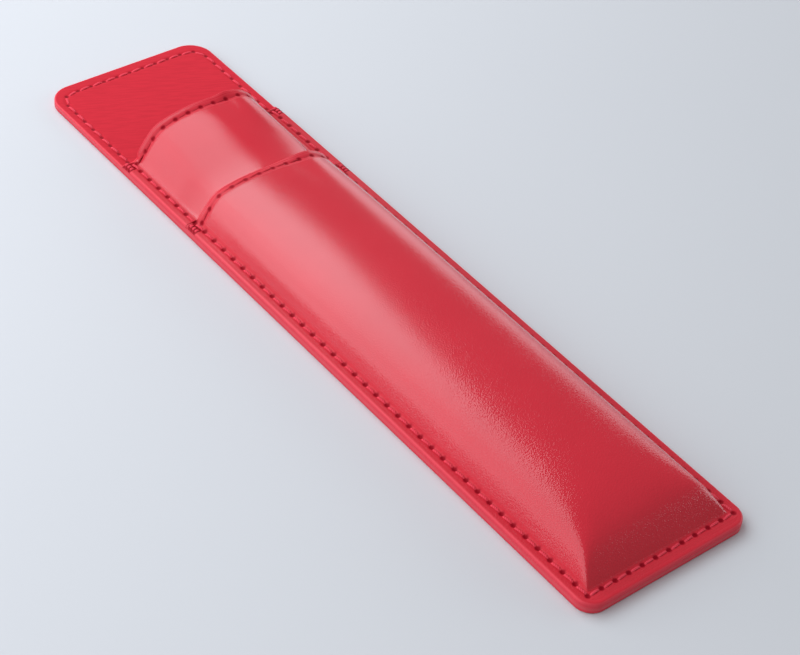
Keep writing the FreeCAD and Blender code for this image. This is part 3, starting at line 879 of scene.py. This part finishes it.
def moulded(name, dome, layer, half, ys, material):
    """One layer of a moulded panel, and the size of cloth that it would be cut from."""
    mouth = dome.mouth - layer.setback
    row_y = dome.mouth - ROW_INSET
    x, y = drawn_corners(*np.meshgrid(both_sides(half), ys))
    if dome.tucked:
        x = np.where(y < BAND_FLANGE, np.clip(x, -BAND_TUCK_HALF, BAND_TUCK_HALF), x)
    place, normal = lie_on(dome.rise, x, y)
    height = dome.rise(x, y)
    free = ease(*FREE_HEIGHTS, height)
    rim = rim_distance(x, y)
    edge = mouth - y
    row = np.abs(y - row_y)
    side = seam_distance(x, y)

    tack_ends = [(s * t, v) for s in (-1, 1) for t in TACK_PLACES for v in tack_ys(dome.mouth)]
    flat_holes = np.concatenate(CLOSED_HOLES + [tack_ends])
    dome_holes = [(girth, row_y) for girth in row_girths(dome.rise, row_y)]
    needle = np.minimum(nearest_hole(x, y, flat_holes),
                        nearest_hole(girth_of(place), y, dome_holes))

    pressed = 0.0
    if layer is SKIN:
        pressed = (SEAM_PULL * bell(side, SEAM_PULL_WIDTH)
                   + ROW_PULL * free * bell(row, ROW_PULL_WIDTH)
                   + HOLE_PULL * bell(needle, HOLE_PULL_WIDTH))
        if dome.tucked:
            pressed += BAND_SKIVE * (1.0 - free) * ease(mouth - BAND_SKIVE_RUN, mouth, y)
    lip = free * round_over(edge, layer.lip_round)
    lift = dome.curl(x, height) * ease(row_y - LIP_START, mouth, y)
    over = layer.upper + pressed + round_over(rim, layer.rim_round) + lip
    top = place - normal * (over - lift)[..., None]
    bottom = place - normal * (layer.lower - lip - lift)[..., None]
    marks = {"needle": needle, "line": np.minimum(side, np.where(free > 0.02, row, FAR)),
             "rim": np.minimum(rim, 2.0 * edge)}
    return sheet_solid(name, top, bottom, marks, material), cut_size(top)


def panel(name, dome, skin_ys, cloth_ys):
    """The leather of a moulded panel, and the lining stretched over its inside."""
    skin, _ = moulded(name + "_skin", dome, SKIN, half_places(END_STEP), skin_ys, hide)
    stand_for(skin, "leather", name + "_panel")
    cloth, cloth_cut = moulded(name + "_cloth", dome, CLOTH, half_places(CLOTH_STEP), cloth_ys,
                               inner_facing)
    stand_for(cloth, "pocket_lining", name + "_lining")


panel("pocket", POCKET, pocket_ys(SIDE_STEP, SKIN), pocket_ys(POCKET_CLOTH_STEP, CLOTH))
panel("band", BAND, band_ys(SIDE_STEP, SKIN), band_ys(BAND_CLOTH_STEP, CLOTH))


def plate_places(half_size, seam, step, corner_step, beyond, rim_round):
    """Places along or across a flat plate, close at its corners, seams and rims."""
    corner = half_size - TAB_CORNER
    runs = [np.arange(0.0, corner, step),
            np.arange(corner, seam - BEFORE_PLATE_SEAM, corner_step),
            close_to(seam, PLATE_SEAM_STEP, WIDE_SEAM_STEPS),
            np.arange(seam + beyond, half_size - rim_round, PLATE_FLANGE_STEP)]
    return both_sides(spread([0.0], *runs, half_size - edge_steps(rim_round)))


def plate(name, rim_round, faces, material):
    """A full-length flat sheet, with the heights and marks of its faces from a function."""
    xs = plate_places(HALF_WIDTH, SEAM_SIDE, PLATE_STEP, SIDE_CORNER_STEP, BEYOND_PLATE_SIDE_SEAM,
                      rim_round)
    ys = plate_places(HALF_LENGTH, SEAM_END, SIDE_STEP, END_CORNER_STEP, BEYOND_SEAM, rim_round)
    x, y = drawn_corners(*np.meshgrid(xs, ys))
    rim = rim_distance(x, y)
    top, bottom, marks = faces(x, y, round_over(rim, rim_round))
    marks["rim"] = rim
    grids = [np.stack([x, y, np.broadcast_to(level, x.shape)], -1) for level in (top, bottom)]
    return sheet_solid(name, *grids, marks, material)


def tab_faces(x, y, rounding):
    """Heights and marks of the back's facing, sewn where it shows on the tab."""
    needle = nearest_hole(x, y, TAB_HOLES)
    line = np.where(y > BAND_MOUTH, seam_distance(x, y), FAR)
    bare = ease(BAND_MOUTH - TAB_BARE_HALF, BAND_MOUTH + TAB_BARE_HALF, y)
    sink = bare * (TAB_SEAM_PULL * bell(line, SEAM_PULL_WIDTH)
                   + TAB_HOLE_PULL * bell(needle, SEAM_PULL_WIDTH))
    return TAB_LEVEL - sink - bare * rounding, BOARD_TOP, {"needle": needle, "line": line}


def back_faces(x, y, rounding):
    """Heights and marks of the outer leather under the sleeve, with the groove for its thread."""
    needle = nearest_hole(x, y, np.concatenate(CLOSED_HOLES + [TAB_HOLES]))
    line = seam_distance(x, y)
    groove = GROOVE_DEPTH * (1.0 - ease(GROOVE_HALF - GROOVE_FALL, GROOVE_HALF, line))
    return BACK_LEATHER_TOP, groove + rounding, {"needle": needle, "line": line}


stand_for(plate("tab_facing", TAB_ROUND, tab_faces, tab_facing), "tab_lining", "back_lining")
stand_for(plate("back_skin", BACK_ROUND, back_faces, back_hide), "leather", "back_panel")

board_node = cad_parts["back_board"]
board_node.data.materials.clear()
board_node.data.materials.append(board)


def stitch_tree():
    """Lays one stitch along every edge of a seam, between the needle holes at its ends."""
    tree = bpy.data.node_groups.new("laid_stitches", "GeometryNodeTree")
    tree.interface.new_socket("Seam", in_out="INPUT", socket_type="NodeSocketGeometry")
    number_inputs(tree, {"Thread Width": 0.55 * MM, "Thread Height": 0.36 * MM,
                         "Hole Overlap": 0.1 * MM, "Bow": 0.1 * MM, "Dive": 0.22 * MM,
                         "Slant": 0.10, "Wander": 0.05, "Winds": 3.0})
    tree.interface.new_socket("Seed", in_out="INPUT", socket_type="NodeSocketInt")
    tree.interface.new_socket("Thread", in_out="INPUT", socket_type="NodeSocketMaterial")
    tree.interface.new_socket("Stitches", in_out="OUTPUT", socket_type="NodeSocketGeometry")
    nodes = Nodes(tree)
    given = nodes.add("NodeGroupInput").outputs

    # One stitch, a unit long: a flat grid rolled into a thread, bowed up and diving at both ends.
    grid = nodes.out("GeometryNodeMeshGrid", {"Size X": 1.0, "Size Y": 1.0, "Vertices X": 9,
                                              "Vertices Y": 8})
    flat = nodes.add("ShaderNodeSeparateXYZ", {0: nodes.out("GeometryNodeInputPosition")}).outputs
    reach = nodes.math("ABSOLUTE", nodes.times(flat["X"], 2.0))
    blunt = nodes.math("SUBTRACT", 1.0, nodes.math("POWER", reach, 5.0), clamp=True)
    body = nodes.math("SQRT", blunt)
    turn = nodes.times(flat["Y"], 2.0 * math.pi)
    half_width = nodes.times(nodes.times(given["Thread Width"], 0.5), body)
    half_height = nodes.times(nodes.times(given["Thread Height"], 0.5), body)
    drop = nodes.math("ADD", given["Bow"], given["Dive"])
    level = nodes.math("SUBTRACT", given["Bow"], nodes.times(drop, nodes.math("POWER", reach, 3.0)))
    side = nodes.times(half_width, nodes.math("SINE", turn))
    rise = nodes.math("ADD", level, nodes.times(half_height, nodes.math("COSINE", turn)))
    rolled = nodes.out("ShaderNodeCombineXYZ", {"X": flat["X"], "Y": side, "Z": rise})
    wind = nodes.math("ADD", nodes.times(flat["X"], given["Winds"]), flat["Y"])
    marked = nodes.out("GeometryNodeStoreNamedAttribute",
                       {"Geometry": grid, "Name": "ply", "Value": wind},
                       data_type="FLOAT", domain="POINT")
    shaped = nodes.out("GeometryNodeSetPosition", {"Geometry": marked, "Position": rolled})
    closed = nodes.out("GeometryNodeMergeByDistance", {"Geometry": shaped, "Distance": 1e-6})

    # One point per edge, which keeps the way from hole to hole and the way the leather looks.
    ends = nodes.add("GeometryNodeInputMeshEdgeVertices").outputs
    way = nodes.vector("SUBTRACT", {0: ends["Position 2"], 1: ends["Position 1"]})[0]
    looks = nodes.add("GeometryNodeInputNamedAttribute", {"Name": "up"}, data_type="FLOAT_VECTOR")
    kept = nodes.add("GeometryNodeCaptureAttribute", domain="EDGE")
    kept.capture_items.new("VECTOR", "Way")
    kept.capture_items.new("VECTOR", "Looks")
    nodes.fill(kept, {"Geometry": given["Seam"], "Way": way, "Looks": looks.outputs["Attribute"]})
    middles = nodes.out("GeometryNodeMeshToPoints", {"Mesh": kept.outputs["Geometry"]},
                        mode="EDGES")

    # Each stitch is turned along its edge and upright on the leather, then slanted by chance.
    chance = nodes.add("FunctionNodeRandomValue", {"Seed": given["Seed"]}, data_type="FLOAT")
    for socket, value in zip([s for s in chance.inputs if s.type == "VALUE"], (-1.0, 1.0)):
        socket.default_value = value
    drawn = next(s for s in chance.outputs if s.type == "VALUE")
    along = nodes.out("FunctionNodeAlignRotationToVector", {"Vector": kept.outputs["Way"]},
                      axis="X")
    upright = nodes.out("FunctionNodeAlignRotationToVector",
                        {"Rotation": along, "Vector": kept.outputs["Looks"]},
                        axis="Z", pivot_axis="X")
    angle = nodes.math("ADD", given["Slant"], nodes.times(drawn, given["Wander"]))
    skew = nodes.out("FunctionNodeAxisAngleToRotation", {"Axis": (0.0, 0.0, 1.0), "Angle": angle})
    slanted = nodes.out("FunctionNodeRotateRotation", {"Rotation": upright, "Rotate By": skew},
                        rotation_space="LOCAL")
    length = nodes.vector("LENGTH", {0: kept.outputs["Way"]})["Value"]
    reached = nodes.math("ADD", length, given["Hole Overlap"])
    scale = nodes.out("ShaderNodeCombineXYZ", {"X": reached, "Y": 1.0, "Z": 1.0})
    laid = nodes.out("GeometryNodeInstanceOnPoints", {"Points": middles, "Instance": closed,
                                                      "Rotation": slanted, "Scale": scale})
    real = nodes.out("GeometryNodeRealizeInstances", {"Geometry": laid})
    soft = nodes.out("GeometryNodeSetShadeSmooth", {"Geometry": real})
    dyed = nodes.out("GeometryNodeSetMaterial", {"Geometry": soft, "Material": given["Thread"]})
    nodes.add("NodeGroupOutput", {"Stitches": dyed})
    return tree


STITCHES = stitch_tree()


def sew(name, runs, yarn, seed, sizes):
    """A row of stitches through runs of needle holes, each run with the way its leather looks."""
    points = np.concatenate([holes for holes, looks in runs])
    ups = np.concatenate([looks for holes, looks in runs]).astype(np.float32)
    edges = []
    for holes, _ in runs:
        first = edges[-1][1] + 1 if edges else 0
        edges += [(first + k, first + k + 1) for k in range(len(holes) - 1)]
    seam = bpy.data.meshes.new(name + "_line")
    seam.from_pydata((points * MM).tolist(), edges, [])
    seam.attributes.new("up", "FLOAT_VECTOR", "POINT").data.foreach_set("vector", ups.ravel())
    host = add_object(name + "_line", seam)
    modifier = host.modifiers.new("stitches", "NODES")
    modifier.node_group = STITCHES
    items = [item for item in STITCHES.interface.items_tree if item.in_out == "INPUT"]
    sockets = {item.name: item.identifier for item in items}
    for label, value in sizes.items():
        modifier[sockets[label]] = value * MM
    modifier[sockets["Seed"]] = seed
    modifier[sockets["Thread"]] = yarn
    evaluated = host.evaluated_get(bpy.context.evaluated_depsgraph_get())
    mesh = bpy.data.meshes.new_from_object(evaluated)
    bpy.data.objects.remove(host)
    mesh.name = name
    work = bmesh.new()
    work.from_mesh(mesh)
    bmesh.ops.recalc_face_normals(work, faces=work.faces)
    work.to_mesh(mesh)
    work.free()
    return add_object(name, mesh)


def flat_run(holes, level, up=1.0):
    """A run of holes on a level face, with the way that face looks."""
    places = np.concatenate([holes, np.full((len(holes), 1), level)], axis=1)
    return places, np.tile([0.0, 0.0, up], (len(holes), 1))


def front_seam():
    """The upper thread round the outline, on the tab and on the flanges."""
    tab = flat_run(TAB_HOLES, TAB_LEVEL - TAB_THREAD_SINK)
    return [tab] + [flat_run(leg, FLANGE_LEVEL - FLANGE_THREAD_SINK) for leg in CLOSED_HOLES]


def back_seam():
    """The lower thread round the outline, in its groove."""
    return [flat_run(leg, GROOVE_DEPTH, -1.0) for leg in [TAB_HOLES] + CLOSED_HOLES]


def mouth_row(dome):
    """Upper and lower thread of a mouth's row, on the leather and inside the lining."""
    row_y = dome.mouth - ROW_INSET
    over, looks = row_holes(dome.rise, row_y, ROW_THREAD_SINK)
    under, looks_under = row_holes(dome.rise, row_y, LEATHER + FACING + ROW_THREAD_BELOW)
    return [(over, looks), (under, -looks_under)]


def tacks(dome):
    """Short back stitches that lock a mouth's row at both cut edges."""
    inner, outer = TACK_PLACES
    bars = [np.array([[side * outer, y], [side * inner, y]])
            for side in (-1.0, 1.0) for y in tack_ys(dome.mouth)]
    return [flat_run(bar, FLANGE_LEVEL - TACK_SINK) for bar in bars]


FRONT_SIZES = {"Thread Width": 0.54, "Thread Height": 0.32, "Hole Overlap": -0.5}
BACK_SIZES = {"Bow": 0.06}
ROW_SIZES = {"Thread Width": 0.4, "Thread Height": 0.24, "Hole Overlap": -0.3, "Bow": 0.05}
TACK_SIZES = {"Thread Width": 0.62, "Thread Height": 0.2, "Bow": 0.05}

# Sewn pieces: name, node that each stands for, holes, thread, seed and sizes of its stitches.
SEWN_PIECES = [
    ("seam_thread_front", "perimeter_stitches_front", front_seam(), thread, 3, FRONT_SIZES),
    ("seam_thread_back", "perimeter_stitches_back", back_seam(), thread, 5, BACK_SIZES),
    ("pocket_row_thread", "pocket_mouth_stitches", mouth_row(POCKET), shaded_row_thread, 7, ROW_SIZES),
    ("band_row_thread", "band_mouth_stitches", mouth_row(BAND), shaded_row_thread, 11, ROW_SIZES),
    ("pocket_tack_thread", "pocket_bar_tacks", tacks(POCKET), thread, 13, TACK_SIZES),
    ("band_tack_thread", "band_bar_tacks", tacks(BAND), thread, 17, TACK_SIZES),
]
for sewn_name, sewn_node, runs, yarn, seed, sizes in SEWN_PIECES:
    stand_for(sew(sewn_name, runs, yarn, seed, sizes), "thread", sewn_node)


def pale_floor():
    """A plain pale table top under the sleeve."""
    material, nodes, shader = new_material("pale_table")
    cloud = nodes.noise(nodes.place(), scale=6.0, detail=2.0)["Fac"]
    nodes.fill(shader, {"Base Color": nodes.mix(cloud, TABLE_DARK, TABLE_LIGHT),
                        "Roughness": 0.7, "Specular IOR Level": 0.2})
    mesh = bpy.data.meshes.new("table")
    reach = 4.0
    turns = [(-1, -1), (1, -1), (1, 1), (-1, 1)]
    mesh.from_pydata([(reach * x, reach * y, 0.0) for x, y in turns], [], [(0, 1, 2, 3)])
    mesh.materials.append(material)
    table = add_object("table", mesh)


pale_floor()

# Camera: the photograph's viewing place, by azimuth, elevation, distance and a slight roll.
VIEW_AZIMUTH = math.radians(-42.985)
VIEW_ELEVATION = math.radians(41.496)
VIEW_ROLL = math.radians(7.042)
VIEW_DISTANCE = 394.519
VIEW_TARGET = Vector((-0.296, -10.103, 0.0))
VIEW_LENS = 100.015
VIEW_SENSOR = 36.0
VIEW_CLIP = (0.01, 20.0)

# Light panels: near right, near left and far right corner, each given across, away and up as the
# camera stands, and how brightly the panel shines. The three on the left are weaker the nearer
# they are, and the other two stand upright at the right and behind.
PANELS = {
    "left_panel": ((-42.0, 130.0, 400.0), (-600.0, 130.0, 150.0), (-42.0, 430.0, 400.0), 3.1),
    "middle_panel": ((-70.0, 0.0, 400.0), (-620.0, 0.0, 70.0), (-70.0, 130.0, 400.0), 2.7),
    "near_panel": ((-100.0, -600.0, 400.0), (-630.0, -600.0, 50.0), (-100.0, 0.0, 400.0), 2.1),
    "right_panel": ((900.0, 40.0, 0.0), (900.0, 900.0, 0.0), (900.0, 40.0, 500.0), 2.7),
    "back_panel": ((800.0, 900.0, 0.0), (-100.0, 900.0, 0.0), (800.0, 900.0, 360.0), 1.4),
}
PANEL_COLOUR = (0.91, 0.945, 1.0)
SKY_COLOUR = (1.0, 1.0, 1.0, 1.0)
SKY_STRENGTH = 0.28


def level_axes():
    """The level directions across the picture and away from the camera."""
    across = Vector((math.cos(VIEW_AZIMUTH), math.sin(VIEW_AZIMUTH), 0.0))
    away = Vector((-math.sin(VIEW_AZIMUTH), math.cos(VIEW_AZIMUTH), 0.0))
    return across, away


def turned_axes():
    """The camera's right, up and back directions."""
    across, _ = level_axes()
    back = Vector((math.sin(VIEW_AZIMUTH) * math.cos(VIEW_ELEVATION),
                   -math.cos(VIEW_AZIMUTH) * math.cos(VIEW_ELEVATION), math.sin(VIEW_ELEVATION)))
    above = back.cross(across)
    right = across * math.cos(VIEW_ROLL) + above * math.sin(VIEW_ROLL)
    up = above * math.cos(VIEW_ROLL) - across * math.sin(VIEW_ROLL)
    return right, up, back


def stand_at(thing, place, axes):
    """Moves an object to a place and turns it to three axes."""
    thing.matrix_world = Matrix.Translation(place * MM) @ Matrix(axes).transposed().to_4x4()


def stand_camera():
    """The camera at the photograph's viewing angle."""
    right, up, back = turned_axes()
    data = bpy.data.cameras.new("camera")
    data.sensor_width = VIEW_SENSOR
    data.lens = VIEW_LENS
    data.clip_start, data.clip_end = VIEW_CLIP
    camera = add_object("camera", data)
    stand_at(camera, VIEW_TARGET + back * VIEW_DISTANCE, (right, up, back))
    bpy.context.scene.camera = camera


def soft_box(name, near_right, near_left, far_right, radiance):
    """A studio light panel from three of its corners, lit on the side of the sleeve."""
    across, away = level_axes()
    corners = [across * r + away * a + Vector((0.0, 0.0, u))
               for r, a, u in (near_right, near_left, far_right)]
    width = corners[0] - corners[1]
    depth = corners[2] - corners[0]
    middle = (corners[1] + corners[2]) / 2
    x_axis = width.normalized()
    y_axis = depth.normalized()
    z_axis = x_axis.cross(y_axis)
    if z_axis.dot(middle) < 0:
        y_axis = -y_axis
        z_axis = -z_axis
    data = bpy.data.lights.new(name, "AREA")
    data.shape = "RECTANGLE"
    data.size = width.length * MM
    data.size_y = depth.length * MM
    data.energy = radiance * math.pi * data.size * data.size_y
    data.color = PANEL_COLOUR
    stand_at(add_object(name, data), middle, (x_axis, y_axis, z_axis))


def studio():
    """Even light from all round, and the soft panels."""
    world = bpy.data.worlds.new("studio")
    world.use_nodes = True
    sky = next(node for node in world.node_tree.nodes if node.type == "BACKGROUND")
    sky.inputs["Color"].default_value = SKY_COLOUR
    sky.inputs["Strength"].default_value = SKY_STRENGTH
    bpy.context.scene.world = world
    for name, panel in PANELS.items():
        soft_box(name, *panel)


stand_camera()
studio()
bpy.context.scene.view_settings.view_transform = "Standard"
